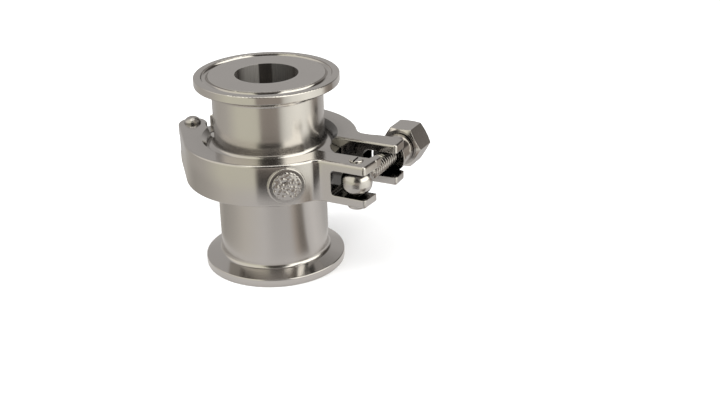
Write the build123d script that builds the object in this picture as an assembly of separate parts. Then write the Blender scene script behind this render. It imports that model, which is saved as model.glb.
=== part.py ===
from build123d import *
import os
from math import acos, atan2, cos, degrees, hypot, radians, sin, sqrt, tan

# Hygienic in-line check valve with clamp ferrule ends, in millimetres.
# Origin: valve axis at the inlet ferrule's face.  +Z: direction of flow.
# +X: from the clamp's hinge towards its swing bolt.  -Y: the clamp's front half.

# ---------------------------------------------------------------- driving dimensions
RUN = 0.05                    # running clearance between parts that turn or slide
TOUCH = 0.02                  # gap left between parts that touch
OVER = 1.0                    # how far a cut runs past the face it starts from
REACH = 60.0                  # beyond everything, for cuts without an end

LENGTH = 70.2                 # face to face
JOINT_Z = 40.5                # mid-plane of the body joint and of the clamp
FERRULE_R = 25.25             # standard sanitary clamp ferrule, 50.5 mm across
FERRULE_RIM = 2.85            # straight rim of a ferrule
FERRULE_ANGLE = 20.0          # back cone of a ferrule
BODY_R = 19.45                # outside of both body halves
BODY_BLEND = 1.6              # fillet between ferrule and body
RIM_EDGE = 0.35               # rounding of a ferrule's rim
TUBE_R = 11.05                # bore of the 1 inch tube
GASKET_T = 1.6                # gasket thickness between the joint ferrules
GROOVE_MID_R = 21.5           # gasket groove in every ferrule face
GROOVE_R = 1.25
CAVITY_R = 17.25              # valve chamber
CHAMBER_FLOOR_Z = 27.0
CHAMBER_FLOOR_R = 14.6
CHAMBER_FLARE_H = 4.0         # height of the cone from the floor to the chamber's wall
LIFT_ROOM_Z = 53.2            # the upper chamber's straight wall ends here
CAGE_RECESS_R = 18.6          # counterbore that holds the guide cage
CAGE_RECESS_Z = 36.9

SEAT_BORE_R = 9.75
SEAT_OUTER_R = 13.5
SEAT_BOTTOM_Z = 21.0
SEAT_TOP_Z = 29.0
SEAT_CONE_Z = 26.5            # where the 45 degree seat cone leaves the bore
SEAT_SEAL_Z = 24.0
SEAT_SEAL_WIRE_R = 0.75

PLUG_R = 12.8
PLUG_BOTTOM_Z = 26.7
PLUG_FLANGE_Z = 29.3
PLUG_TOP_Z = 31.6
SPIGOT_R = 8.2                # carries the plug seal
PLUG_SEAL_WIRE_R = 1.2
PLUG_SEAL_Z = 28.0
STEM_R = 3.0
STEM_BOTTOM_Z = 23.5
STEM_TOP_Z = 58.8
NOSE_Z = 21.3
NOSE_R = 9.3
NOSE_RIM = 1.2
NOSE_FLOOR_GAP = 0.1          # below the stem's end, inside the cap
STEM_BEVEL = 0.6
WASHER_T = 0.8
WASHER_R = 8.2
CLIP_T = 0.76                 # retaining rings of stem and hinge pin
CLIP_GROOVE_T = 0.8
CLIP_DEPTH = 0.5
CLIP_WIDTH = 1.4              # how far the stem's ring stands proud
CLIP_ABOVE_HUB = 0.9

SPRING_MID_R = 6.0
SPRING_WIRE_R = 0.6
SPRING_TURNS = 6.5

BUSH_FLANGE_Z = 49.2          # spring bears here
BUSH_FLANGE_T = 0.8
BUSH_FLANGE_R = 7.2
BUSH_R = 4.2
BUSH_PROUD = 0.3              # how far the bush stands above its hub
HUB_R = 7.4
HUB_TOP_Z = 56.5
CAGE_RING_IN_R = 15.2
LEG_T = 2.2
LEG_OUTER_R = 16.9
LEG_COUNT = 3

CLAMP_BOTTOM_Z = 33.0
CLAMP_TOP_Z = 48.0
CLAMP_R = 30.3                # outside of the front half
REAR_R = 31.0                 # outside of the rear half
CLAMP_GROOVE_R = 25.75
GROOVE_PLAY = 0.06            # between the V groove and the ferrules' cones
LIP_R = 22.2
LIP_CHAMFER_R = 24.0
LIP_CHAMFER_H = 1.5
CLAMP_EDGE = 0.9              # rounding of the clamp's outer edges

HINGE_X = -31.6
HINGE_Y = -0.6
LUG_R = 5.2
HINGE_PIN_R = 2.4
HINGE_HEAD_R = 2.95
HINGE_HEAD_H = 2.3
HINGE_HEAD_RIM = 0.7
HINGE_PIN_END = 1.4           # pin below its ring's groove
HINGE_RING_R = 4.0
HINGE_RING_GAP = 1.2          # half width of the ring's opening
HINGE_RING_DROP = 1.0         # groove below the lug
TONGUE_R = 4.5
TONGUE_HALF = 3.2             # half height of the rear half's hinge tongue
TONGUE_GAP = 0.25
TONGUE_SLOT_R = 5.6           # reach of the tongue's slot in the lug
TONGUE_SLOT_HALF = 2.4        # the slot goes this far in front of the pin
REAR_END_Y = 9.0              # where the rear half's full ring stops near the hinge

ARM_FRONT_Y = -15.7           # front clevis arm
ARM_INNER_Y = -7.0
ARM_END_X = 45.0
FORK_INNER_Y = 5.9            # rear forked arm
FORK_OUTER_Y = 13.2
FORK_END_X = 46.0
EAR_T = 3.0                   # thickness of every ear and prong
CLEVIS_X = 31.5               # bottom of the clevis slot
LOWER_EAR_CUT_X = 38.0        # the lower front ear is narrower from here on
LOWER_EAR_BACK_Y = -8.6
SCALLOP_R = 2.7               # round bite in the upper front ear, beside the bolt
SCALLOP_X = 39.4
SCALLOP_Y = -5.1
FORK_SLOT_X = 33.4            # bottom of the fork slot
ARM_ROOT_BLEND = 5.0          # inside corner between ring and arm
ARM_CORNER = 1.0              # outer corners of both arms, seen from above
LOBE_CORNER = 1.2             # lobe at the rear of the upper front ear
LOBE_EDGE = 0.5
ARM_START_X = 20.0            # arms begin inside the ring
CLEVIS_CORNER = 1.2           # corners of the slots, seen from the front
FORK_CORNER = 2.5

BOLT_X = 38.9                 # swing bolt's pivot
BOLT_Y = -11.0
BOLT_LEAN = 2.2               # the bolt leans this many degrees towards +X
EYE_R = 5.3
EYE_HALF = 4.2
EYE_BLEND = 3.6
THREAD_R = 3.175              # 1/4 inch bolt with a coarse thread
THREAD_PITCH = 1.44
THREAD_DEPTH = 0.8
NECK_START = 2.0              # these five are distances along the bolt from its pivot
NECK_END = 6.2
THREAD_START = 9.0
BOLT_END = 41.8
BOLT_BEVEL = 0.4
SADDLE_R = 24.9               # the fork's back is a cylinder about the bolt's pivot
COLLAR_END = 33.1
COLLAR_RIM_R = 6.1
COLLAR_RIM_L = 2.6
COLLAR_R = 5.5
COLLAR_BEVEL = 0.5
COLLAR_WRAP = 0.3             # the rim reaches this far round the fork's back
NUT_START = 33.15
NUT_END = 43.4
NUT_FLATS = 13.8              # across flats
NUT_FACE_INSET = 0.35         # round bearing face inside the flats
NUT_BEVEL_ANGLE = 30.0
BOLT_PIN_R = 2.0
BOLT_PIN_HEAD_R = 3.2
BOLT_PIN_HEAD_H = 1.8
BOLT_PIN_HEAD_EDGE = 0.7
STAKE_R = 2.4                 # staked upper end of the bolt's pin
STAKE_H = 0.55
STAKE_EDGE = 0.5
STAKE_CUT = 0.35              # half width of the slot in it
PIN_CUT = (20.0, 60.0)        # heights between which pin holes are cut

MEDALLION_ANGLE = -51.0       # direction of the blank round boss on the front half
MEDALLION_R = 6.35
MEDALLION_FACE_R = 31.0       # distance of its flat face from the valve axis
MEDALLION_DEPTH = 3.0
MEDALLION_EDGE = 0.35

# ---------------------------------------------------------------- derived dimensions
CONE_H = (FERRULE_R - BODY_R) * tan(radians(FERRULE_ANGLE))
LOWER_TOP_Z = JOINT_Z - GASKET_T / 2
UPPER_BOTTOM_Z = JOINT_Z + GASKET_T / 2
CLAMP_HALF_H = (CLAMP_TOP_Z - CLAMP_BOTTOM_Z) / 2
EAR_INNER_HALF = CLAMP_HALF_H - EAR_T
SPRING_BOTTOM_Z = PLUG_TOP_Z + WASHER_T


# ---------------------------------------------------------------- small helpers
def revolved(points):
    """Solid of revolution about the valve axis from (radius, z) points."""
    profile = Polyline([(r, 0, z) for r, z in points], close=True)
    return revolve(make_face(profile), Axis.Z)


def cylinder(radius, low, high, x=0.0, y=0.0):
    """Upright cylinder between two heights."""
    centre = Location((x, y, (low + high) / 2))
    return centre * Cylinder(radius, high - low)


def block(x_range, y_range, z_range):
    """Axis-aligned box between two corners."""
    spans = (x_range, y_range, z_range)
    sizes = [high - low for low, high in spans]
    centre = tuple((low + high) / 2 for low, high in spans)
    return Location(centre) * Box(*sizes)


def prism(points, low, high):
    """Straight-sided solid from an (x, y) outline."""
    face = make_face(Polyline([(x, y, low) for x, y in points], close=True))
    return extrude(face, amount=high - low, dir=(0, 0, 1))


def ring(mid_radius, wire_radius, z):
    """Torus about the valve axis, as an O-ring or a round groove."""
    return Location((0, 0, z)) * Torus(mid_radius, wire_radius)


def on_bolt(shape):
    """Move a shape built along +Z from the origin onto the swing bolt's axis."""
    place = Location((BOLT_X, BOLT_Y, JOINT_Z), (0, 0, -BOLT_LEAN))
    return place * Location((0, 0, 0), (-90, 0, 0)) * shape


def at_angle(edge_angle, radius):
    """Point on a circle about the valve axis."""
    return radius * cos(radians(edge_angle)), radius * sin(radians(edge_angle))


def rounded(shape, edges, radius):
    """Fillet the chosen edges."""
    return fillet(edges, radius) if edges else shape


# ---------------------------------------------------------------- body
def ferrule_profile(face_z, direction):
    """(radius, z) points from a ferrule's rim to the body; direction is into the body."""
    rim_z = face_z + direction * FERRULE_RIM
    root_z = rim_z + direction * CONE_H
    return [(FERRULE_R, face_z), (FERRULE_R, rim_z), (BODY_R, root_z)]


def with_ferrule_blends(body, root_heights):
    """Round the inside corners between the ferrule cones and the body."""
    edges = []
    for edge in body.edges().filter_by(GeomType.CIRCLE):
        at_root = any(abs(edge.center().Z - z) < 0.01 for z in root_heights)
        if at_root and abs(edge.radius - BODY_R) < 0.01:
            edges.append(edge)
    return rounded(body, edges, BODY_BLEND)


def with_soft_rims(body):
    """Break the sharp outer edges of the ferrules."""
    rims = []
    for edge in body.edges().filter_by(GeomType.CIRCLE):
        if abs(edge.radius - FERRULE_R) < 0.01:
            rims.append(edge)
    return rounded(body, rims, RIM_EDGE)


def body_shell(low_face_z, high_face_z):
    """Outside of one body half with a ferrule at each end, without its bore."""
    low = ferrule_profile(low_face_z, 1)
    high = ferrule_profile(high_face_z, -1)
    outline = [(0, low_face_z)] + low + high[::-1] + [(0, high_face_z)]
    shell = revolved(outline)
    shell = with_ferrule_blends(shell, [low[-1][1], high[-1][1]])
    shell = with_soft_rims(shell)
    for z in (low_face_z, high_face_z):
        shell -= ring(GROOVE_MID_R, GROOVE_R, z)
    return shell


def lower_body():
    """Inlet half: tube bore, seat pocket, conical chamber and cage recess."""
    chamber = revolved([
        (0, -OVER),
        (TUBE_R, -OVER),
        (TUBE_R, SEAT_BOTTOM_Z),
        (SEAT_OUTER_R, SEAT_BOTTOM_Z),
        (SEAT_OUTER_R, CHAMBER_FLOOR_Z),
        (CHAMBER_FLOOR_R, CHAMBER_FLOOR_Z),
        (CAVITY_R, CHAMBER_FLOOR_Z + CHAMBER_FLARE_H),
        (CAVITY_R, CAGE_RECESS_Z),
        (CAGE_RECESS_R, CAGE_RECESS_Z),
        (CAGE_RECESS_R, LOWER_TOP_Z + OVER),
        (0, LOWER_TOP_Z + OVER),
    ])
    return body_shell(0, LOWER_TOP_Z) - chamber


def upper_body():
    """Outlet half: straight chamber that tapers to the tube bore."""
    taper_h = CAVITY_R - TUBE_R
    chamber = revolved([
        (0, UPPER_BOTTOM_Z - OVER),
        (CAVITY_R, UPPER_BOTTOM_Z - OVER),
        (CAVITY_R, LIFT_ROOM_Z),
        (TUBE_R, LIFT_ROOM_Z + taper_h),
        (TUBE_R, LENGTH + OVER),
        (0, LENGTH + OVER),
    ])
    return body_shell(UPPER_BOTTOM_Z, LENGTH) - chamber


def body_gasket():
    """Flat clamp gasket with a round bead on each side."""
    low = LOWER_TOP_Z + TOUCH
    high = UPPER_BOTTOM_Z - TOUCH
    inset = 0.1
    flat = cylinder(FERRULE_R - inset, low, high) - cylinder(CAVITY_R + inset, low, high)
    bead_r = GROOVE_R - 4 * TOUCH
    beads = ring(GROOVE_MID_R, bead_r, LOWER_TOP_Z) + ring(GROOVE_MID_R, bead_r, UPPER_BOTTOM_Z)
    return flat + beads


# ---------------------------------------------------------------- seat and plug
def seat_ring():
    """Ring with a 45 degree seat, held in the lower body's pocket."""
    outer = SEAT_OUTER_R - TOUCH
    low = SEAT_BOTTOM_Z + TOUCH
    seat_top_r = SEAT_BORE_R + SEAT_TOP_Z - SEAT_CONE_Z
    lead_in = 1.2
    bevel = 0.5
    body = revolved([
        (SEAT_BORE_R + lead_in, low),
        (outer, low),
        (outer, SEAT_TOP_Z - bevel),
        (outer - bevel, SEAT_TOP_Z),
        (seat_top_r, SEAT_TOP_Z),
        (SEAT_BORE_R, SEAT_CONE_Z),
        (SEAT_BORE_R, low + lead_in),
    ])
    return body - seal_groove()


def seal_groove():
    """Rectangular groove round the seat ring for its seal."""
    depth = 2 * SEAT_SEAL_WIRE_R
    side_room = 0.2
    low = SEAT_SEAL_Z - SEAT_SEAL_WIRE_R - side_room
    high = SEAT_SEAL_Z + SEAT_SEAL_WIRE_R + side_room
    return cylinder(SEAT_OUTER_R + OVER, low, high) - cylinder(SEAT_OUTER_R - depth, low, high)


def seat_ring_seal():
    """O-ring that closes the gap behind the seat ring."""
    mid = SEAT_OUTER_R - SEAT_SEAL_WIRE_R
    return ring(mid, SEAT_SEAL_WIRE_R - TOUCH / 2, SEAT_SEAL_Z)


def valve_plug():
    """Plug head: spigot for the seal, flange above it, stem hole through it."""
    lower_bevel = 0.9
    upper_bevel = 0.6
    return revolved([
        (STEM_R + TOUCH, PLUG_BOTTOM_Z),
        (SPIGOT_R, PLUG_BOTTOM_Z),
        (SPIGOT_R, PLUG_FLANGE_Z),
        (PLUG_R - lower_bevel, PLUG_FLANGE_Z),
        (PLUG_R, PLUG_FLANGE_Z + lower_bevel),
        (PLUG_R, PLUG_TOP_Z - upper_bevel),
        (PLUG_R - upper_bevel, PLUG_TOP_Z),
        (STEM_R + TOUCH, PLUG_TOP_Z),
    ])


def plug_seal():
    """O-ring on the spigot that touches the seat cone."""
    reach = (PLUG_SEAL_WIRE_R + TOUCH) * sqrt(2)
    mid = SEAT_BORE_R + PLUG_SEAL_Z - SEAT_CONE_Z - reach
    return ring(mid, PLUG_SEAL_WIRE_R - TOUCH, PLUG_SEAL_Z)


def nose_cap():
    """Streamlined cap screwed on the stem's lower end; it holds the seal on the spigot."""
    cap_top = PLUG_BOTTOM_Z - TOUCH
    nose = [(0, 0), (2.6, 0.4), (5.6, 1.8)]
    solid = revolved([(r, NOSE_Z + h) for r, h in nose] + [
        (NOSE_R, cap_top - NOSE_RIM),
        (NOSE_R, cap_top),
        (0, cap_top),
    ])
    return solid - cylinder(STEM_R + TOUCH, STEM_BOTTOM_Z - NOSE_FLOOR_GAP, cap_top + OVER)


def clip_groove_z():
    """Height of the stem's clip groove: just above the hub."""
    return HUB_TOP_Z + CLIP_ABOVE_HUB


def plug_stem():
    """Round stem with a groove for the clip and a chamfered top."""
    stem = cylinder(STEM_R, STEM_BOTTOM_Z, STEM_TOP_Z)
    stem = chamfer(stem.edges().group_by(Axis.Z)[-1], STEM_BEVEL)
    return stem - clip_groove(STEM_R, clip_groove_z())


def clip_groove(shaft_r, low, x=0.0, y=0.0):
    """Cutting tool for the groove of a retaining ring."""
    high = low + CLIP_GROOVE_T
    return cylinder(shaft_r + OVER, low, high, x, y) - cylinder(shaft_r - CLIP_DEPTH, low, high, x, y)


def stem_clip():
    """Open retaining ring in the stem's groove."""
    low = clip_groove_z() + TOUCH
    high = low + CLIP_T
    outer = STEM_R + CLIP_WIDTH
    half_gap = 1.4
    clip = cylinder(outer, low, high) - cylinder(STEM_R - CLIP_DEPTH + TOUCH, low, high)
    return clip - block((0, outer + OVER), (-half_gap, half_gap), (low - OVER, high + OVER))


def spring_seat():
    """Thin washer between plug and spring."""
    low = PLUG_TOP_Z + TOUCH
    high = SPRING_BOTTOM_Z
    return cylinder(WASHER_R, low, high) - cylinder(STEM_R + RUN, low, high)


def return_spring():
    """Round-wire compression spring between the washer and the bush flange."""
    low = SPRING_BOTTOM_Z + SPRING_WIRE_R + TOUCH
    high = BUSH_FLANGE_Z - SPRING_WIRE_R - TOUCH
    height = high - low
    path = Location((0, 0, low)) * Helix(height / SPRING_TURNS, height, SPRING_MID_R)
    section = Plane(origin=path @ 0, z_dir=path % 0) * Circle(SPRING_WIRE_R)
    return sweep(section, path=path, is_frenet=True)


# ---------------------------------------------------------------- guide
def cage_leg():
    """One leg of the guide cage: up along the chamber wall, then in to the hub."""
    in_ring_z = CAGE_RECESS_Z + 1.0
    in_hub_r = HUB_R - 1.0
    outline = [
        (CAGE_RING_IN_R, in_ring_z),
        (LEG_OUTER_R, in_ring_z),
        (LEG_OUTER_R, 50.4),
        (12.4, 54.6),
        (in_hub_r, HUB_TOP_Z),
        (in_hub_r, 50.6),
        (11.6, 49.4),
        (CAGE_RING_IN_R, 46.4),
    ]
    face = make_face(Polyline([(r, -LEG_T / 2, z) for r, z in outline], close=True))
    return extrude(face, amount=LEG_T, dir=(0, 1, 0))


def guide_cage():
    """Ring trapped at the body joint, three legs and a hub that carries the bush."""
    ring_low = CAGE_RECESS_Z + TOUCH
    ring_high = LOWER_TOP_Z - TOUCH
    cage = cylinder(CAGE_RECESS_R - RUN, ring_low, ring_high)
    cage -= cylinder(CAGE_RING_IN_R, ring_low, ring_high)
    cage += cylinder(HUB_R, BUSH_FLANGE_Z + BUSH_FLANGE_T + TOUCH, HUB_TOP_Z)
    for index in range(LEG_COUNT):
        cage += Rot(0, 0, index * 360 / LEG_COUNT + 90) * cage_leg()
    return cage - cylinder(BUSH_R + TOUCH, BUSH_FLANGE_Z, HUB_TOP_Z + OVER)


def guide_bush():
    """Flanged polymer bush in the hub."""
    flange_top = BUSH_FLANGE_Z + BUSH_FLANGE_T
    bush = cylinder(BUSH_FLANGE_R, BUSH_FLANGE_Z, flange_top)
    bush += cylinder(BUSH_R, BUSH_FLANGE_Z, HUB_TOP_Z + BUSH_PROUD)
    return bush - cylinder(STEM_R + RUN, BUSH_FLANGE_Z - OVER, HUB_TOP_Z + OVER)


# ---------------------------------------------------------------- clamp
def nearest_corners(sketch, points):
    """The sketch's corners closest to the given points."""
    return [sketch.vertices().sort_by_distance((x, y, 0))[0] for x, y in points]


def hinge_web():
    """Filling between the hinge lug and the ring, bounded by their common tangent."""
    distance = hypot(HINGE_X, HINGE_Y)
    lug_angle = degrees(atan2(HINGE_Y, HINGE_X))
    tangent_angle = lug_angle + degrees(acos((CLAMP_R - LUG_R) / distance))
    ring_x, ring_y = at_angle(tangent_angle, CLAMP_R)
    lug_x, lug_y = at_angle(tangent_angle, LUG_R)
    inner_x, inner_y = at_angle(tangent_angle, CLAMP_GROOVE_R)
    corners = [
        (HINGE_X, HINGE_Y),
        (HINGE_X + lug_x, HINGE_Y + lug_y),
        (ring_x, ring_y),
        (inner_x, inner_y),
        (HINGE_X + LUG_R, HINGE_Y),
    ]
    return make_face(Polyline(corners, close=True))


def behind_front_half():
    """Plan area that the front half leaves free for the rear half."""
    lug_side = (-27.2, 1.0)
    lip_side = (-22.4, -4.1)
    return make_face(Polyline([
        (-REACH, lug_side[1]),
        lug_side,
        lip_side,
        (0, ARM_INNER_Y),
        (REACH, ARM_INNER_Y),
        (REACH, REACH),
        (-REACH, REACH),
    ], close=True))


def front_outline():
    """Outside of the front half seen from above: ring, hinge lug, web and clevis arm."""
    sector = Circle(CLAMP_R) - behind_front_half()
    lug = Pos(HINGE_X, HINGE_Y) * Circle(LUG_R)
    arm_corners = [
        (ARM_START_X, ARM_INNER_Y),
        (ARM_START_X, ARM_FRONT_Y + 0.3),
        (ARM_END_X - 0.9, ARM_FRONT_Y - 0.4),
        (ARM_END_X + 0.1, ARM_INNER_Y),
    ]
    arm = make_face(Polyline(arm_corners, close=True))
    outline = sector + lug + hinge_web() + arm
    root_x = sqrt(CLAMP_R ** 2 - ARM_FRONT_Y ** 2)
    outline = fillet(nearest_corners(outline, [(root_x, ARM_FRONT_Y)]), ARM_ROOT_BLEND)
    return fillet(nearest_corners(outline, arm_corners[2:]), ARM_CORNER)


def rear_outline():
    """Outside of the rear half seen from above: ring and forked arm."""
    front = make_face(Polyline([
        (-REACH, REAR_END_Y),
        (0, REAR_END_Y),
        (0, FORK_INNER_Y),
        (REACH, FORK_INNER_Y),
        (REACH, -REACH),
        (-REACH, -REACH),
    ], close=True))
    sector = Circle(REAR_R) - front
    near_end = BOLT_X - sqrt(SADDLE_R ** 2 - (FORK_OUTER_Y - BOLT_Y) ** 2)
    plain = make_face(Polyline([
        (ARM_START_X, FORK_INNER_Y),
        (near_end, FORK_INNER_Y),
        (near_end, FORK_OUTER_Y),
        (ARM_START_X, FORK_OUTER_Y),
    ], close=True))
    past_saddle_y = BOLT_Y + SADDLE_R + OVER
    fork = make_face(Polyline([
        (near_end, FORK_INNER_Y),
        (FORK_END_X, FORK_INNER_Y),
        (FORK_END_X, past_saddle_y),
        (near_end, past_saddle_y),
    ], close=True))
    fork = fork & (Pos(BOLT_X, BOLT_Y) * Circle(SADDLE_R))
    bulge = make_face(Polyline([
        (-26.4, 15.4),
        (-30.4, REAR_END_Y),
        (-25.9, REAR_END_Y),
    ], close=True))
    outline = sector + bulge + plain + fork
    root_x = sqrt(REAR_R ** 2 - FORK_OUTER_Y ** 2)
    outline = fillet(nearest_corners(outline, [(root_x, FORK_OUTER_Y)]), ARM_ROOT_BLEND)
    end_corners = [(FORK_END_X, FORK_INNER_Y), (FORK_END_X, FORK_OUTER_Y)]
    return fillet(nearest_corners(outline, end_corners), ARM_CORNER)


def clamp_blank(outline):
    """Full-height plate from a plan outline with its top and bottom edges rounded."""
    plate = extrude(Pos(0, 0, CLAMP_BOTTOM_Z) * outline, amount=CLAMP_TOP_Z - CLAMP_BOTTOM_Z)
    flat_groups = plate.edges().filter_by(Plane.XY).group_by(Axis.Z)
    return fillet(flat_groups[0] + flat_groups[-1], CLAMP_EDGE)


def v_groove():
    """Inside of the clamp: lip opening, its chamfers and the V groove for the ferrules."""
    slope = tan(radians(FERRULE_ANGLE))
    rim_h = GASKET_T / 2 + FERRULE_RIM + GROOVE_PLAY
    upper = [
        (CLAMP_GROOVE_R, rim_h + (FERRULE_R - CLAMP_GROOVE_R) * slope),
        (LIP_R, rim_h + (FERRULE_R - LIP_R) * slope),
        (LIP_R, CLAMP_HALF_H - LIP_CHAMFER_H),
        (LIP_CHAMFER_R, CLAMP_HALF_H),
        (LIP_CHAMFER_R, CLAMP_HALF_H + OVER),
        (0, CLAMP_HALF_H + OVER),
    ]
    lower = [(r, -h) for r, h in upper[::-1]]
    return revolved([(r, JOINT_Z + h) for r, h in upper + lower])


def side_slot(start_x, corner):
    """Slot across an arm, open at the arm's end, between the two ears."""
    section = RectangleRounded(REACH, 2 * EAR_INNER_HALF, corner)
    centre = (start_x + REACH / 2, 0, JOINT_Z)
    place = Plane(origin=centre, x_dir=(1, 0, 0), z_dir=(0, -1, 0))
    return extrude(place * section, amount=REACH, both=True)


def upper_ear_lobe():
    """Rounded lobe at the rear corner of the upper ear."""
    root_y = ARM_INNER_Y - 1.5
    tip_y = ARM_INNER_Y + 2.8
    lobe = make_face(Polyline([
        (ARM_END_X - 3.4, root_y),
        (ARM_END_X, root_y),
        (ARM_END_X + 0.4, tip_y),
        (ARM_END_X - 2.6, tip_y),
    ], close=True))
    lobe = fillet(lobe.vertices().sort_by(Axis.Y)[-2:], LOBE_CORNER)
    plate = extrude(Pos(0, 0, CLAMP_TOP_Z - EAR_T) * lobe, amount=EAR_T)
    return fillet(plate.edges().group_by(Axis.Z)[-1], LOBE_EDGE)


def medallion():
    """Blank round boss on the front wall."""
    x, y = at_angle(MEDALLION_ANGLE, MEDALLION_FACE_R)
    face_plane = Plane(origin=(x, y, JOINT_Z), z_dir=(x, y, 0))
    boss = extrude(face_plane * Circle(MEDALLION_R), amount=-MEDALLION_DEPTH)
    front_edge = boss.edges().filter_by(GeomType.CIRCLE).sort_by_distance((x, y, JOINT_Z))[0]
    return fillet(front_edge, MEDALLION_EDGE)


def clamp_front_half():
    """Front half of the clamp: ring sector, hinge lug, medallion and clevis arm."""
    half = clamp_blank(front_outline()) + medallion() - v_groove()
    half -= side_slot(CLEVIS_X, CLEVIS_CORNER)
    half += upper_ear_lobe()
    lower_ear = (CLAMP_BOTTOM_Z - OVER, CLAMP_BOTTOM_Z + EAR_T + OVER)
    half -= block((LOWER_EAR_CUT_X, REACH), (LOWER_EAR_BACK_Y, 0), lower_ear)
    upper_ear = (CLAMP_TOP_Z - EAR_T - OVER, CLAMP_TOP_Z + OVER)
    half -= cylinder(SCALLOP_R, *upper_ear, SCALLOP_X, SCALLOP_Y)
    slot = (JOINT_Z - TONGUE_HALF - TONGUE_GAP, JOINT_Z + TONGUE_HALF + TONGUE_GAP)
    half -= cylinder(TONGUE_SLOT_R, *slot, HINGE_X, HINGE_Y)
    half -= block((-REACH, -LIP_R), (HINGE_Y - TONGUE_SLOT_HALF, REACH), slot)
    half -= cylinder(HINGE_PIN_R + RUN, *PIN_CUT, HINGE_X, HINGE_Y)
    half -= cylinder(BOLT_PIN_R + TOUCH, *PIN_CUT, BOLT_X, BOLT_Y)
    return half


def hinge_tongue():
    """Middle tongue of the rear half that goes between the lug's two ears."""
    low = JOINT_Z - TONGUE_HALF
    high = JOINT_Z + TONGUE_HALF
    tongue = cylinder(TONGUE_R, low, high, HINGE_X, HINGE_Y)
    root_y = REAR_END_Y + 1.5
    tongue += prism([
        (HINGE_X - TONGUE_R, HINGE_Y),
        (HINGE_X + TONGUE_R, HINGE_Y),
        (-24.8, root_y),
        (-28.6, root_y),
    ], low, high)
    return tongue - cylinder(CLAMP_GROOVE_R, low, high)


def clamp_rear_half():
    """Rear half of the clamp: ring sector, hinge tongue and forked arm."""
    half = clamp_blank(rear_outline()) - v_groove() - side_slot(FORK_SLOT_X, FORK_CORNER)
    half += hinge_tongue()
    return half - cylinder(HINGE_PIN_R + TOUCH, *PIN_CUT, HINGE_X, HINGE_Y)


def hinge_pin():
    """Hinge pin with a low domed head and a groove for its retaining ring."""
    ring_z = hinge_ring_z()
    in_head_z = CLAMP_TOP_Z + HINGE_HEAD_RIM
    pin = cylinder(HINGE_PIN_R, ring_z - HINGE_PIN_END, in_head_z, HINGE_X, HINGE_Y)
    return pin - clip_groove(HINGE_PIN_R, ring_z, HINGE_X, HINGE_Y) + pin_dome()


def pin_dome():
    """Domed head: a short rim and a spherical cap."""
    cap_h = HINGE_HEAD_H - HINGE_HEAD_RIM
    sphere_r = (HINGE_HEAD_R ** 2 + cap_h ** 2) / (2 * cap_h)
    base = CLAMP_TOP_Z + TOUCH
    cap_centre = base + HINGE_HEAD_H - sphere_r
    head = cylinder(HINGE_HEAD_R, base, base + HINGE_HEAD_H, HINGE_X, HINGE_Y)
    return head & (Location((HINGE_X, HINGE_Y, cap_centre)) * Sphere(sphere_r))


def hinge_ring_z():
    """Height of the groove under the lug."""
    return CLAMP_BOTTOM_Z - HINGE_RING_DROP


def hinge_pin_ring():
    """Open retaining ring under the hinge lug."""
    low = hinge_ring_z() + TOUCH
    high = low + CLIP_T
    clip = cylinder(HINGE_RING_R, low, high, HINGE_X, HINGE_Y)
    clip -= cylinder(HINGE_PIN_R - CLIP_DEPTH + TOUCH, low, high, HINGE_X, HINGE_Y)
    opening_x = (HINGE_X - HINGE_RING_R - OVER, HINGE_X)
    opening_y = (HINGE_Y - HINGE_RING_GAP, HINGE_Y + HINGE_RING_GAP)
    return clip - block(opening_x, opening_y, (low - OVER, high + OVER))


# ---------------------------------------------------------------- swing bolt and nut
def thread_profile(start, end):
    """(radius, distance) points of a shank with parallel V grooves at the thread's pitch."""
    points = []
    distance = start
    crest_start = 0.42
    crest_end = 0.58
    while distance + THREAD_PITCH <= end:
        points.append((THREAD_R - THREAD_DEPTH, distance))
        points.append((THREAD_R, distance + crest_start * THREAD_PITCH))
        points.append((THREAD_R, distance + crest_end * THREAD_PITCH))
        distance += THREAD_PITCH
    points.append((THREAD_R - THREAD_DEPTH, distance))
    return points


def swing_bolt():
    """Eye bolt: rounded barrel eye and a threaded shank."""
    eye = Cylinder(EYE_R, 2 * EYE_HALF)
    eye = fillet(eye.edges(), EYE_BLEND)
    eye = Location((BOLT_X, BOLT_Y, JOINT_Z)) * eye
    root_r = THREAD_R - THREAD_DEPTH
    profile = [(0, NECK_START), (THREAD_R, NECK_START), (THREAD_R, NECK_END), (root_r, THREAD_START)]
    profile += thread_profile(THREAD_START, BOLT_END)[1:]
    profile += [(root_r - BOLT_BEVEL, BOLT_END), (0, BOLT_END)]
    bolt = eye + on_bolt(revolved(profile))
    return bolt - cylinder(BOLT_PIN_R + RUN, *PIN_CUT, BOLT_X, BOLT_Y)


def swing_bolt_pin():
    """Headed pin through the clevis; its upper end is staked."""
    low = CLAMP_BOTTOM_Z - TOUCH
    top = CLAMP_TOP_Z + TOUCH
    pin = cylinder(BOLT_PIN_R, low, top, BOLT_X, BOLT_Y)
    head = cylinder(BOLT_PIN_HEAD_R, low - BOLT_PIN_HEAD_H, low, BOLT_X, BOLT_Y)
    head = fillet(head.edges().group_by(Axis.Z)[0], BOLT_PIN_HEAD_EDGE)
    stake = cylinder(STAKE_R, top, top + STAKE_H, BOLT_X, BOLT_Y)
    stake = fillet(stake.edges().group_by(Axis.Z)[-1], STAKE_EDGE)
    cut_x = (BOLT_X - STAKE_CUT, BOLT_X + STAKE_CUT)
    cut_y = (BOLT_Y - STAKE_R - OVER, BOLT_Y + STAKE_R + OVER)
    cut = block(cut_x, cut_y, (top + STAKE_H / 3, top + STAKE_H + OVER))
    return pin + head + (stake - cut)


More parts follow.
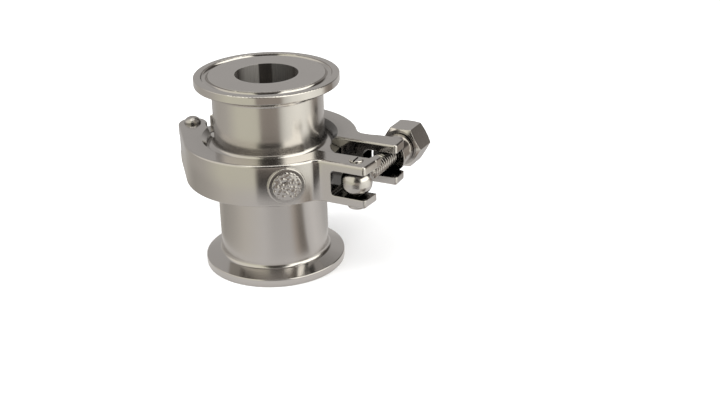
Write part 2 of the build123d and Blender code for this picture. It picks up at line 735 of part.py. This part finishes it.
def saddle_collar():
    """Collar between fork and nut; its front is hollowed to sit on the fork's round back."""
    bore_r = THREAD_R + RUN
    front = sqrt(SADDLE_R ** 2 - COLLAR_RIM_R ** 2) - COLLAR_WRAP
    rim_end = front + COLLAR_RIM_L
    solid = revolved([
        (bore_r, front),
        (COLLAR_RIM_R - COLLAR_BEVEL, front),
        (COLLAR_RIM_R, front + COLLAR_BEVEL),
        (COLLAR_RIM_R, rim_end - COLLAR_BEVEL),
        (COLLAR_RIM_R - COLLAR_BEVEL, rim_end),
        (COLLAR_R, rim_end),
        (COLLAR_R, COLLAR_END - COLLAR_BEVEL),
        (COLLAR_R - COLLAR_BEVEL, COLLAR_END),
        (bore_r, COLLAR_END),
    ])
    return on_bolt(solid) - cylinder(SADDLE_R + RUN, *PIN_CUT, BOLT_X, BOLT_Y)


def clamp_nut():
    """Hex nut with chamfered corners and a clearance bore for the thread."""
    corner_r = NUT_FLATS / 2 / cos(radians(30))
    hexagon = RegularPolygon(corner_r, 6)
    prism_body = Location((0, 0, NUT_START)) * extrude(hexagon, amount=NUT_END - NUT_START)
    face_r = NUT_FLATS / 2 - NUT_FACE_INSET
    edge_drop = (corner_r - face_r) * tan(radians(NUT_BEVEL_ANGLE))
    envelope = revolved([
        (0, NUT_START),
        (face_r, NUT_START),
        (corner_r, NUT_START + edge_drop),
        (corner_r, NUT_END - edge_drop),
        (face_r, NUT_END),
        (0, NUT_END),
    ])
    bore = cylinder(THREAD_R + RUN, NUT_START - OVER, NUT_END + OVER)
    return on_bolt((prism_body & envelope) - bore)


# ---------------------------------------------------------------- output
PARTS = {
    "lower_body": lower_body,
    "upper_body": upper_body,
    "body_gasket": body_gasket,
    "seat_ring": seat_ring,
    "seat_ring_seal": seat_ring_seal,
    "valve_plug": valve_plug,
    "plug_seal": plug_seal,
    "nose_cap": nose_cap,
    "plug_stem": plug_stem,
    "stem_clip": stem_clip,
    "spring_seat": spring_seat,
    "return_spring": return_spring,
    "guide_cage": guide_cage,
    "guide_bush": guide_bush,
    "clamp_front_half": clamp_front_half,
    "clamp_rear_half": clamp_rear_half,
    "hinge_pin": hinge_pin,
    "hinge_pin_ring": hinge_pin_ring,
    "swing_bolt": swing_bolt,
    "swing_bolt_pin": swing_bolt_pin,
    "saddle_collar": saddle_collar,
    "clamp_nut": clamp_nut,
}

os.makedirs("parts", exist_ok=True)
for name, make in PARTS.items():
    shape = make()
    shape.label = name
    export_step(shape, os.path.join("parts", name + ".step"))
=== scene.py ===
import math

import bpy
from mathutils import Matrix, Vector, noise


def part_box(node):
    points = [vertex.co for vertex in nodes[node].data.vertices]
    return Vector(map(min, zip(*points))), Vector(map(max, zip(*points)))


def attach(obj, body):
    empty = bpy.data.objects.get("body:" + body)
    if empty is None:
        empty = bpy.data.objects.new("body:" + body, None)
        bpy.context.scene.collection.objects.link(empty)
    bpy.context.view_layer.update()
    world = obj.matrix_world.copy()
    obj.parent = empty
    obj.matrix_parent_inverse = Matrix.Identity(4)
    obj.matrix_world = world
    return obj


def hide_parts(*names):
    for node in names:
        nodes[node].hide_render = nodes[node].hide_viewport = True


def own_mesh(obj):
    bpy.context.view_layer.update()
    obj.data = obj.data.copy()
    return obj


# Hygienic clamp-ended in-line check valve: satin stainless steel on a plain pale floor.
# Metres.  The valve's axis is Z and its inlet ferrule stands on the floor.

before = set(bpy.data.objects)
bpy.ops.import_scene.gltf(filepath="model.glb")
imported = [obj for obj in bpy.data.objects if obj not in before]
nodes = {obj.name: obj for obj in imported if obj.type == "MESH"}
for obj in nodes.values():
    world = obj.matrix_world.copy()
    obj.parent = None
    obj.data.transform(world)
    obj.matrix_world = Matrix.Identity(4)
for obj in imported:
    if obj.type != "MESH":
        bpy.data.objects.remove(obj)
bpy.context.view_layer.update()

# ---------------------------------------------------------------- camera
CAMERA_PLACE = Vector((0.19141, -0.32862, 0.19276))
CAMERA_HEADING = Vector((-0.43051, 0.90259, 0.0))
CAMERA_PITCH = math.radians(24.441)
CAMERA_ROLL = math.radians(-1.209)
CAMERA_LENS = 57.451
SENSOR_WIDTH = 36.0


def add_camera():
    """Camera at the viewing angle of the reference view."""
    forward = CAMERA_HEADING.normalized() * math.cos(CAMERA_PITCH)
    forward.z = -math.sin(CAMERA_PITCH)
    right = forward.cross(Vector((0, 0, 1))).normalized()
    down = forward.cross(right)
    roll_c, roll_s = math.cos(CAMERA_ROLL), math.sin(CAMERA_ROLL)
    x_axis = right * roll_c - down * roll_s
    y_axis = -(right * roll_s + down * roll_c)
    z_axis = -forward
    data = bpy.data.cameras.new("camera")
    data.lens = CAMERA_LENS
    data.sensor_width = SENSOR_WIDTH
    data.clip_start = 0.01
    camera = bpy.data.objects.new("camera", data)
    turn = Matrix((x_axis, y_axis, z_axis)).transposed().to_4x4()
    camera.matrix_world = Matrix.Translation(CAMERA_PLACE) @ turn
    bpy.context.scene.collection.objects.link(camera)
    bpy.context.scene.camera = camera


# ---------------------------------------------------------------- node graphs
class Graph:
    """Short way to write node trees: nearly every call returns an output socket."""

    def __init__(self, tree):
        self.tree = tree
        self.tree.nodes.clear()

    def node(self, kind, inputs=None, **settings):
        """The node itself, with its settings made and its inputs plugged."""
        made = self.tree.nodes.new(kind)
        for key, value in settings.items():
            setattr(made, key, value)
        for key, value in (inputs or {}).items():
            self.plug(made.inputs[key], value)
        return made

    def plug(self, socket, value):
        if isinstance(value, bpy.types.NodeSocket):
            self.tree.links.new(value, socket)
        else:
            socket.default_value = value

    def math(self, operation, a, b=0.0, c=0.0, clamp=False):
        made = self.node("ShaderNodeMath", {0: a, 1: b, 2: c}, operation=operation)
        made.use_clamp = clamp
        return made.outputs[0]

    def vector(self, operation, a, b=(0.0, 0.0, 0.0)):
        made = self.node("ShaderNodeVectorMath", {0: a, 1: b}, operation=operation)
        return made.outputs["Value" if operation in ("DOT_PRODUCT", "LENGTH") else "Vector"]

    def smooth(self, value, low, high, to_low=0.0, to_high=1.0):
        """Smooth step of value between low and high."""
        made = self.node("ShaderNodeMapRange", interpolation_type="SMOOTHSTEP")
        for index, item in enumerate((value, low, high, to_low, to_high)):
            self.plug(made.inputs[index], item)
        return made.outputs[0]

    def ramp(self, value, stops):
        """Colour ramp from (place, colour) stops."""
        made = self.node("ShaderNodeValToRGB", {0: value})
        elements = made.color_ramp.elements
        while len(elements) > 1:
            elements.remove(elements[-1])
        elements[0].position, elements[0].color = stops[0]
        for place, colour in stops[1:]:
            elements.new(place).color = colour
        return made.outputs[0]

    def mix(self, factor, a, b, blend="MIX"):
        made = self.node("ShaderNodeMix", data_type="RGBA", blend_type=blend)
        self.plug(made.inputs[0], factor)
        self.plug(made.inputs[6], a)
        self.plug(made.inputs[7], b)
        return made.outputs[2]

    def times(self, colour, brightness):
        """Colour made darker or lighter by a plain number socket."""
        grey = self.node("ShaderNodeCombineXYZ", {0: brightness, 1: brightness, 2: brightness})
        return self.mix(1.0, colour, grey.outputs[0], "MULTIPLY")

    def noise(self, coordinate, scale, detail=2.0, roughness=0.5, dimensions="3D"):
        made = self.node("ShaderNodeTexNoise", noise_dimensions=dimensions)
        made.inputs["Scale"].default_value = scale
        made.inputs["Detail"].default_value = detail
        made.inputs["Roughness"].default_value = roughness
        self.plug(made.inputs["W" if dimensions == "1D" else "Vector"], coordinate)
        return made.outputs[0]

    def result(self, shader, output="ShaderNodeOutputMaterial"):
        self.node(output, {"Surface": shader.outputs[0]})


def new_material(name):
    """Empty material and its graph."""
    material = bpy.data.materials.new(name)
    material.use_nodes = True
    return material, Graph(material.node_tree)


NEUTRAL = (1.0, 0.965, 0.93)
WARM = (1.0, 0.945, 0.86)
CREAM = (1.0, 0.965, 0.80)
BROWN = (1.0, 0.88, 0.77)
SOFT_WHITE = (1.0, 0.975, 0.89)
STEEL = (1.0, 0.97, 0.94)
WHITE = (1.0, 1.0, 1.0)


def shade(value, tint=NEUTRAL):
    """Opaque colour of the given brightness and tint."""
    return (*(value * part for part in tint), 1.0)


# ---------------------------------------------------------------- studio
TO_CAMERA = Vector((CAMERA_PLACE.x, CAMERA_PLACE.y, 0.0)).normalized()
TO_RIGHT = Vector((-TO_CAMERA.y, TO_CAMERA.x, 0.0))
GROUND_SIZE = 8.0
TABLE_DROP = 0.0004           # keeps the reflected table just below the floor

# The heights are sines of elevation, over which one part of the studio fades into the next.
SKY_FADE = (0.05, 0.22)
CEILING_FADE = (0.93, 0.96)
OVERHEAD_FADE = (0.965, 0.982)

# The distances are from the valve's axis, along the table.
FOOT_FADE = (0.030, 0.038)    # ends the plain ground round the foot
TABLE_FADE = (0.117, 0.125)   # ends the table
CARD_NEAR = (0.114, 0.118)    # a black card across the front starts here
CARD_FAR = (0.147, 0.140)     # and ends here


def azimuth_turns(graph, direction):
    """0 behind the object, 0.5 towards the camera, rising to the right, 1 behind again."""
    ahead = graph.vector("DOT_PRODUCT", direction, tuple(TO_CAMERA))
    right = graph.vector("DOT_PRODUCT", direction, tuple(TO_RIGHT))
    angle = graph.math("ARCTAN2", right, ahead)
    return graph.math("MULTIPLY_ADD", angle, 1 / (2 * math.pi), 0.5)


def bands(graph, azimuth, stops):
    """Colours round the valve, each at its degrees to the right of the camera."""
    return graph.ramp(azimuth, [(degrees / 360 + 0.5, shade(*look)) for degrees, *look in stops])


def studio_bands(graph, azimuth):
    """What stands round the object: grey behind, cream wall left, dark front, soft box right."""
    return bands(graph, azimuth, [
        (-180, 0.44),
        (-150, 0.50),
        (-120, 0.47, WARM),
        (-92, 0.52, WARM),
        (-62, 0.69, CREAM),
        (-21, 0.69, CREAM),
        (-16, 0.33, BROWN),
        (18, 0.34, BROWN),
        (24, 0.72, SOFT_WHITE),
        (36, 0.98, SOFT_WHITE),
        (60, 1.14, SOFT_WHITE),
        (88, 0.98, SOFT_WHITE),
        (98, 0.40, BROWN),
        (106, 0.27, BROWN),
        (114, 0.30, BROWN),
        (124, 0.50),
        (152, 0.60),
        (180, 0.44),
    ])


def sky_bands(graph, azimuth):
    """The same studio higher up, where lamps and dark gaps differ more."""
    return bands(graph, azimuth, [
        (-180, 0.44),
        (-130, 0.44),
        (-108, 0.85, WARM),
        (-30, 0.90, CREAM),
        (-22, 0.05, BROWN),
        (22, 0.04, BROWN),
        (30, 1.90, SOFT_WHITE),
        (96, 1.90, SOFT_WHITE),
        (104, 0.06, BROWN),
        (140, 0.08, BROWN),
        (156, 0.44),
        (180, 0.44),
    ])


def near_bands(graph, azimuth):
    """The table near the valve, as its walls reflect it."""
    return bands(graph, azimuth, [
        (-180, 0.42),
        (-140, 0.50, WARM),
        (-111, 0.40, WARM),
        (-83, 0.48, WARM),
        (-55, 0.61, WARM),
        (-20, 0.64),
        (0, 0.55),
        (27, 0.55),
        (36, 0.44, BROWN),
        (44, 0.22, BROWN),
        (54, 0.20, BROWN),
        (58, 0.64),
        (76, 0.74),
        (97, 0.64),
        (111, 0.53),
        (180, 0.42),
    ])


def add_world():
    """White for the eye and for soft light; reflections see the studio's walls and ceiling."""
    world = bpy.data.worlds.new("studio")
    bpy.context.scene.world = world
    world.use_nodes = True
    graph = Graph(world.node_tree)
    direction = graph.node("ShaderNodeTexCoord").outputs["Generated"]
    height = graph.vector("DOT_PRODUCT", direction, (0, 0, 1))
    azimuth = azimuth_turns(graph, direction)
    rising = graph.smooth(height, *SKY_FADE)
    sky = graph.mix(rising, studio_bands(graph, azimuth), sky_bands(graph, azimuth))
    sky = graph.mix(graph.smooth(height, *CEILING_FADE), sky, shade(2.2, SOFT_WHITE))
    sky = graph.mix(graph.smooth(height, *OVERHEAD_FADE), sky, shade(0.80))
    glossy = graph.node("ShaderNodeLightPath").outputs["Is Glossy Ray"]
    colour = graph.mix(glossy, shade(1.0, WHITE), sky)
    background = graph.node("ShaderNodeBackground", {"Color": colour, "Strength": 1.0})
    graph.result(background, "ShaderNodeOutputWorld")


def add_ground(name, height):
    """Large plane outside the object, and its material's graph."""
    bpy.ops.mesh.primitive_plane_add(size=GROUND_SIZE, location=(0, 0, height))
    ground = bpy.context.object
    ground.name = name
    material, graph = new_material(name)
    ground.data.materials.append(material)
    return ground, graph


def add_floor():
    """Plain pale floor; reflections see the table below instead."""
    floor, graph = add_ground("floor", 0.0)
    floor.visible_glossy = False
    graph.result(graph.node("ShaderNodeBsdfDiffuse", {"Color": shade(0.93, WHITE)}))


def add_table():
    """The table as reflections see it: light near the object, cards and soft boxes further out."""
    table, graph = add_ground("table_reflection", -TABLE_DROP)
    table.visible_camera = False
    table.visible_diffuse = False
    table.visible_shadow = False
    table.visible_transmission = False
    place = graph.node("ShaderNodeNewGeometry").outputs["Position"]
    azimuth = azimuth_turns(graph, place)
    distance = graph.vector("LENGTH", place)
    past_foot = graph.smooth(distance, *FOOT_FADE)
    near = graph.mix(past_foot, shade(0.68), near_bands(graph, azimuth))
    beyond = graph.smooth(distance, *TABLE_FADE)
    colour = graph.mix(beyond, near, studio_bands(graph, azimuth))
    in_front = bands(graph, azimuth, [(-20, 0.0), (-16, 1.0), (18, 1.0), (22, 0.0)])
    started = graph.smooth(distance, *CARD_NEAR)
    not_ended = graph.smooth(distance, *CARD_FAR)
    card = graph.math("MULTIPLY", graph.math("MULTIPLY", started, not_ended), in_front)
    colour = graph.mix(card, colour, shade(0.01, BROWN))
    graph.result(graph.node("ShaderNodeEmission", {"Color": colour, "Strength": 1.0}))


def add_light(name, place, size, power, target=(0, 0, 0.03)):
    """Large round soft box that lights the floor and the dull parts."""
    data = bpy.data.lights.new(name, "AREA")
    data.shape = "DISK"
    data.size = size
    data.energy = power
    lamp = bpy.data.objects.new(name, data)
    lamp.location = place
    lamp.rotation_euler = (Vector(target) - Vector(place)).to_track_quat("-Z", "Y").to_euler()
    lamp.visible_glossy = False
    bpy.context.scene.collection.objects.link(lamp)


# ---------------------------------------------------------------- materials
CLAMP_MID_Z = 0.0405
BOLT_PIVOT = Vector((0.0389, -0.0110, CLAMP_MID_Z))
BOLT_LEAN = math.radians(2.2)
BOLT_AXIS = Vector((math.sin(BOLT_LEAN), math.cos(BOLT_LEAN), 0.0))
THREAD_START = 0.0090         # along the bolt from its pivot
THREAD_PITCH = 0.00144
ROOT_FADE = (0.14, 0.40)      # distances from a crest, in pitches, over which the painted root shade deepens
CREST_SHINE = 0.25            # how much lighter than plain steel the painted crest highlight is
ROOT_SHADE = 1.15             # how much darker than its crest the painted root shade is

BORE_FADE = (0.01125, 0.01110)          # radii over which the painted bore reflections begin
BORE_LOW_FADE = (0.0585, 0.0590)        # heights over which they begin, above the guide cage
BODY_IN_FADE = (0.0186, 0.0189)         # radii over which the body's satin outside begins
BODY_OUT_FADE = (0.0201, 0.0197)        # and ends
BODY_SATIN = 0.10             # added roughness of the body's outside

# Scales of the noise patterns, per metre.
MARK_SCALE = 9000.0
PIT_SCALE = 2600.0
WAVE_SCALE = 220.0
CLOUD_SCALE = 70.0

EDGE_FADE = (0.985, 0.90)     # cosine between plain and rounded normal, from smooth to edge
GAP_FADE = (0.20, 0.78)       # openness over which the painted gap shade fades from its darkest to nothing
CLAMP_GAP_FADE = (0.32, 0.92)
RING_GAPS = 0.75              # the painted shade on the clamp's open ring is less dark than on its forks and their roots
FORK_SIDE = (1.0, 0.8, 0.0)
FORK_FADE = (0.0170, 0.0200)  # along FORK_SIDE, from the open ring to the forks, where the painted shade deepens


def edge_mask(graph, radius):
    """1 on convex and concave edges and 0 on smooth areas; and the rounded normal."""
    rounded = graph.node("ShaderNodeBevel", {"Radius": radius}, samples=6).outputs[0]
    normal = graph.node("ShaderNodeNewGeometry").outputs["Normal"]
    alike = graph.vector("DOT_PRODUCT", rounded, normal)
    return graph.smooth(alike, *EDGE_FADE), rounded


def gap_shade(graph, place, darkest, reach, forked):
    """Painted shade: brightness that falls where little of the surroundings is in sight."""
    sight = graph.node("ShaderNodeAmbientOcclusion", {"Distance": reach}, samples=8)
    openness = sight.outputs["AO"]
    if not forked:
        return graph.smooth(openness, *GAP_FADE, darkest, 1.0)
    sideways = graph.vector("DOT_PRODUCT", place, FORK_SIDE)
    darkest = graph.smooth(sideways, *FORK_FADE, RING_GAPS, darkest)
    return graph.smooth(openness, *CLAMP_GAP_FADE, darkest, 1.0)


def thread_shade(graph, place):
    """Brightness of the swing bolt's thread: painted shade in the roots and painted highlights on
    the crests.
    """
    from_pivot = graph.vector("SUBTRACT", place, tuple(BOLT_PIVOT))
    along = graph.vector("DOT_PRODUCT", from_pivot, tuple(BOLT_AXIS))
    past_start = graph.math("SUBTRACT", along, THREAD_START)
    turn = graph.math("FRACT", graph.math("DIVIDE", past_start, THREAD_PITCH))
    from_crest = graph.math("ABSOLUTE", graph.math("SUBTRACT", turn, 0.5))
    root = graph.smooth(from_crest, *ROOT_FADE)
    painted_crest_and_root = graph.math("MULTIPLY_ADD", root, -ROOT_SHADE, CREST_SHINE)
    threaded = graph.smooth(along, THREAD_START, THREAD_START + THREAD_PITCH / 2)
    return graph.math("MULTIPLY_ADD", threaded, painted_crest_and_root, 1.0)


def bore_painted_reflections(graph, place):
    """Painted reflections and shade in the outlet bore: vertical light and dark bands by
    direction, with fine draw marks.
    """
    azimuth = azimuth_turns(graph, place)
    broad = bands(graph, azimuth, [
        (-180, 0.03, BROWN),
        (-167, 0.04, BROWN),
        (-165, 0.30, WARM),
        (-138, 0.26, WARM),
        (-118, 0.06, BROWN),
        (-60, 0.20, WARM),
        (60, 0.20, WARM),
        (118, 0.05, BROWN),
        (148, 0.09, WARM),
        (168, 0.10, WARM),
        (171, 0.03, BROWN),
        (180, 0.03, BROWN),
    ])
    fine = graph.noise(azimuth, 260.0, 3.0, 0.7, "1D")
    return graph.times(broad, graph.math("MULTIPLY_ADD", fine, 0.9, 0.55))


def steel(name, tone, roughness, marks=0.0, grain=0.0, wave=0.0, edge=0.0002, gaps=0.08,
          gap_reach=0.010, body=False, thread=False, forked=False):
    """Stainless steel: tonal drift, turning marks about the valve axis, grain, painted shade in
    gaps, painted highlights on edges, and where asked painted reflections in the bore and painted
    shade on the thread.

    marks, grain and wave are the strengths of turning marks, fine pits and slow unevenness,
    edge the width of the painted edge highlights, gaps the brightness of the darkest painted gap
    shade.
    """
    material, graph = new_material(name)
    place = graph.node("ShaderNodeTexCoord").outputs["Object"]
    x, y, height = graph.node("ShaderNodeSeparateXYZ", {0: place}).outputs
    flat = graph.node("ShaderNodeCombineXYZ", {0: x, 1: y}).outputs[0]
    radius = graph.vector("LENGTH", flat)
    lines = graph.noise(graph.math("ADD", radius, height), MARK_SCALE, 4.0, 0.7, "1D")
    cloud = graph.noise(place, CLOUD_SCALE, 2.0, 0.5)
    pits = graph.noise(place, PIT_SCALE, 2.0, 0.6)
    edge_highlight, normal = edge_mask(graph, edge)

    base = graph.mix(cloud, shade(tone * 0.97, STEEL), shade(tone * 1.03, STEEL))
    base = graph.times(base, graph.math("MULTIPLY_ADD", lines, 0.10 * marks, 1.0 - 0.05 * marks))
    # Painted highlight: edges made lighter than the plain steel.
    base = graph.mix(graph.math("MULTIPLY", edge_highlight, 0.5), base, shade(tone * 1.25))
    # Painted shade: darker in gaps and forks.
    base = graph.times(base, gap_shade(graph, place, gaps, gap_reach, forked))
    rough = graph.math("MULTIPLY_ADD", cloud, 0.04, roughness - 0.02)
    rough = graph.math("MULTIPLY_ADD", pits, 0.06 * grain, rough)
    metallic = 1.0

    if body:
        # Painted reflections and shade in the outlet bore; the steel is made mostly non-metal
        # there so the painted colour shows.
        bore = graph.math("MULTIPLY", graph.smooth(radius, *BORE_FADE),
                          graph.smooth(height, *BORE_LOW_FADE))
        base = graph.mix(bore, base, bore_painted_reflections(graph, place))
        metallic = graph.math("MULTIPLY_ADD", bore, -0.75, 1.0)
        outside = graph.math("MULTIPLY", graph.smooth(radius, *BODY_IN_FADE),
                             graph.smooth(radius, *BODY_OUT_FADE))
        rough = graph.math("MULTIPLY_ADD", outside, BODY_SATIN, rough)
    if thread:
        # Painted shade in the thread's roots and painted highlights on its crests.
        base = graph.times(base, thread_shade(graph, place))

    swell = graph.noise(place, WAVE_SCALE, 1.0)
    relief = graph.math("MULTIPLY", lines, marks)
    relief = graph.math("MULTIPLY_ADD", pits, grain, relief)
    relief = graph.math("MULTIPLY_ADD", swell, 4.0 * wave, relief)
    bump = graph.node("ShaderNodeBump", {
        "Strength": 0.25,
        "Distance": 0.00002,
        "Height": relief,
        "Normal": normal,
    })
    graph.result(graph.node("ShaderNodeBsdfPrincipled", {
        "Base Color": base,
        "Metallic": metallic,
        "Roughness": graph.math("MULTIPLY_ADD", edge_highlight, -0.04, rough, clamp=True),
        "Normal": bump.outputs[0],
    }))
    return material


def dull(name, tone, roughness, speck, scale):
    """Rubber or polymer: speckled tone, fine surface relief."""
    material, graph = new_material(name)
    place = graph.node("ShaderNodeTexCoord").outputs["Object"]
    fine = graph.noise(place, scale, 4.0, 0.6)
    broad = graph.noise(place, scale / 12, 2.0, 0.5)
    specks = graph.math("MULTIPLY_ADD", fine, 0.5, graph.math("MULTIPLY", broad, 0.5))
    bump = graph.node("ShaderNodeBump", {"Strength": 0.3, "Distance": 0.00003, "Height": fine})
    graph.result(graph.node("ShaderNodeBsdfPrincipled", {
        "Base Color": graph.mix(specks, shade(1 - speck, tone), shade(1 + speck, tone)),
        "Roughness": graph.math("MULTIPLY_ADD", broad, 0.2, roughness - 0.1),
        "Normal": bump.outputs[0],
    }))
    return material


def paint(names, material):
    """Give CAD nodes a material."""
    for name in names:
        data = nodes[name].data
        data.materials.clear()
        data.materials.append(material)


# ---------------------------------------------------------------- pieces
def link_mesh(name, points, faces):
    """Smooth-shaded mesh object from points and faces."""
    mesh = bpy.data.meshes.new(name)
    mesh.from_pydata(points, [], faces)
    mesh.validate()
    mesh.update()
    mesh.polygons.foreach_set("use_smooth", [True] * len(mesh.polygons))
    made = bpy.data.objects.new(name, mesh)
    bpy.context.scene.collection.objects.link(made)
    return made


def circle_pairs(count):
    """Each index on a closed ring with the next one."""
    return [(index, (index + 1) % count) for index in range(count)]


SPRING_MID_R = 0.0060
SPRING_WIRE_R = 0.0006
SPRING_TURNS = 7.5
CLOSED_TURNS = 1.0            # at each end
CLOSED_PITCH = 2.05 * SPRING_WIRE_R
GROUND_END = 0.3 * SPRING_WIRE_R    # ground off each end of the spring
SPRING_STEPS = 48             # path points in a turn
WIRE_SIDES = 14


def spring_climb(turned, rise):
    """How far the wire has climbed after some turns of its whole rise."""
    closed_rise = CLOSED_TURNS * CLOSED_PITCH
    left = SPRING_TURNS - turned
    if turned < CLOSED_TURNS:
        return CLOSED_PITCH * turned
    if left < CLOSED_TURNS:
        return rise - CLOSED_PITCH * left
    share = (turned - CLOSED_TURNS) / (SPRING_TURNS - 2 * CLOSED_TURNS)
    return closed_rise + (rise - 2 * closed_rise) * share


def coiled_spring(low, high):
    """Compression spring with closed, ground ends in place of the CAD helix."""
    rise = high - low - 2 * SPRING_WIRE_R
    steps = int(SPRING_TURNS * SPRING_STEPS)
    points, faces = [], []
    for step in range(steps + 1):
        turned = step / SPRING_STEPS
        angle = 2 * math.pi * turned
        mid_z = low + SPRING_WIRE_R + spring_climb(turned, rise)
        for side in range(WIRE_SIDES):
            lean = 2 * math.pi * side / WIRE_SIDES
            reach = SPRING_MID_R + SPRING_WIRE_R * math.cos(lean)
            z = mid_z + SPRING_WIRE_R * math.sin(lean)
            z = min(max(z, low + GROUND_END), high - GROUND_END)
            points.append((reach * math.cos(angle), reach * math.sin(angle), z))
    for step in range(steps):
        here, there = step * WIRE_SIDES, (step + 1) * WIRE_SIDES
        for side, after in circle_pairs(WIRE_SIDES):
            faces.append((here + side, there + side, there + after, here + after))
    last = steps * WIRE_SIDES
    faces.append(tuple(range(WIRE_SIDES)))
    faces.append(tuple(last + side for side in reversed(range(WIRE_SIDES))))
    return link_mesh("coiled_spring", points, faces)


MEDALLION_ANGLE = math.radians(-51.0)
MEDALLION_FACE_R = 0.0310
PAD_R = 0.0054
PAD_RINGS = 44
PAD_SPOKES = 150
PAD_SUNK = 0.00015            # the pad's rim lies this deep in the boss
PAD_BACK = 0.0003             # and the middle of its back this deep
PAD_RIM = 0.12 * PAD_R        # width over which the relief rises from the rim
PAD_FLOOR = 0.00002           # height of the ground between pebbles
PAD_MIDDLE = 0.0001
PEBBLE_SIZE = 0.00115
PEBBLE_REACH = 0.62           # a pebble's radius in pebble sizes
PEBBLE_HEIGHT = 0.00026


def pebble_height(u, v):
    """Height of the pebbled relief at a place on the pad, away from its rim."""
    nearest = noise.voronoi(Vector((u, v, 0)) / PEBBLE_SIZE)[0][0]
    pebble = 1 - min(nearest / PEBBLE_REACH, 1) ** 2
    swell = 0.5 + 0.5 * noise.noise(Vector((u, v, 3.0)) / (3 * PEBBLE_SIZE))
    return PAD_FLOOR + PEBBLE_HEIGHT * pebble * (0.45 + 0.55 * swell)


def pebbled_pad():
    """Pebbled relief on the clamp's round boss."""
    out = Vector((math.cos(MEDALLION_ANGLE), math.sin(MEDALLION_ANGLE), 0))
    side = Vector((-out.y, out.x, 0))
    centre = out * MEDALLION_FACE_R + Vector((0, 0, CLAMP_MID_Z))
    points = [tuple(centre + out * PAD_MIDDLE)]
    for ring in range(1, PAD_RINGS + 1):
        radius = PAD_R * ring / PAD_RINGS
        inside = min((PAD_R - radius) / PAD_RIM, 1.0)
        for spoke in range(PAD_SPOKES):
            angle = 2 * math.pi * spoke / PAD_SPOKES
            u, v = radius * math.cos(angle), radius * math.sin(angle)
            lift = pebble_height(u, v) * inside - PAD_SUNK * (1 - inside)
            points.append(tuple(centre + side * u + Vector((0, 0, v)) + out * lift))
    back = len(points)
    points.append(tuple(centre - out * PAD_BACK))

    spokes = circle_pairs(PAD_SPOKES)
    faces = [(0, 1 + spoke, 1 + after) for spoke, after in spokes]
    for ring in range(PAD_RINGS - 1):
        inner, outer = 1 + ring * PAD_SPOKES, 1 + (ring + 1) * PAD_SPOKES
        for spoke, after in spokes:
            faces.append((inner + spoke, outer + spoke, outer + after, inner + after))
    rim = 1 + (PAD_RINGS - 1) * PAD_SPOKES
    faces += [(rim + spoke, back, rim + after) for spoke, after in spokes]
    return link_mesh("medallion_relief", points, faces)


# ---------------------------------------------------------------- build the picture
add_camera()
add_world()
add_floor()
add_table()
add_light("key", (-0.35, -0.45, 0.80), size=0.6, power=6.0)
add_light("fill", (0.60, -0.10, 0.60), size=0.5, power=3.0)

turned_steel = steel("turned_steel", 0.66, 0.11, marks=0.25, grain=0.1, gaps=0.75,
                     gap_reach=0.004, body=True)
cast_steel = steel("cast_steel", 0.64, 0.13, grain=0.25, wave=0.7, edge=0.0004, gaps=0.16,
                   gap_reach=0.016, forked=True)
fastener_steel = steel("fastener_steel", 0.66, 0.13, grain=0.2, wave=0.3, edge=0.00015)
bolt_steel = steel("bolt_steel", 0.66, 0.20, grain=0.2, wave=0.3, edge=0.00015, gaps=0.25,
                   thread=True)
spring_steel = steel("spring_steel", 0.60, 0.25, grain=0.2, edge=0.0001)
black_rubber = dull("black_rubber", (0.035, 0.035, 0.036), 0.6, 0.4, 1500.0)
bush_polymer = dull("bush_polymer", (0.80, 0.79, 0.75), 0.45, 0.05, 1200.0)

paint(["lower_body", "upper_body", "seat_ring", "valve_plug", "nose_cap", "plug_stem",
       "guide_cage"], turned_steel)
paint(["clamp_front_half", "clamp_rear_half"], cast_steel)
paint(["swing_bolt_pin", "saddle_collar", "clamp_nut"], fastener_steel)
paint(["swing_bolt"], bolt_steel)
paint(["stem_clip", "spring_seat", "return_spring", "hinge_pin_ring", "hinge_pin"],
      spring_steel)
paint(["body_gasket", "seat_ring_seal", "plug_seal"], black_rubber)
paint(["guide_bush"], bush_polymer)

spring_low, spring_high = (corner.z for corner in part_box("return_spring"))
spring = coiled_spring(spring_low, spring_high)
spring.data.materials.append(spring_steel)
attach(spring, "valve")
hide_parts("return_spring")
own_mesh(spring)

pad = pebbled_pad()
pad.data.materials.append(cast_steel)
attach(pad, "front_clamp")

bpy.context.scene.view_settings.view_transform = "Standard"
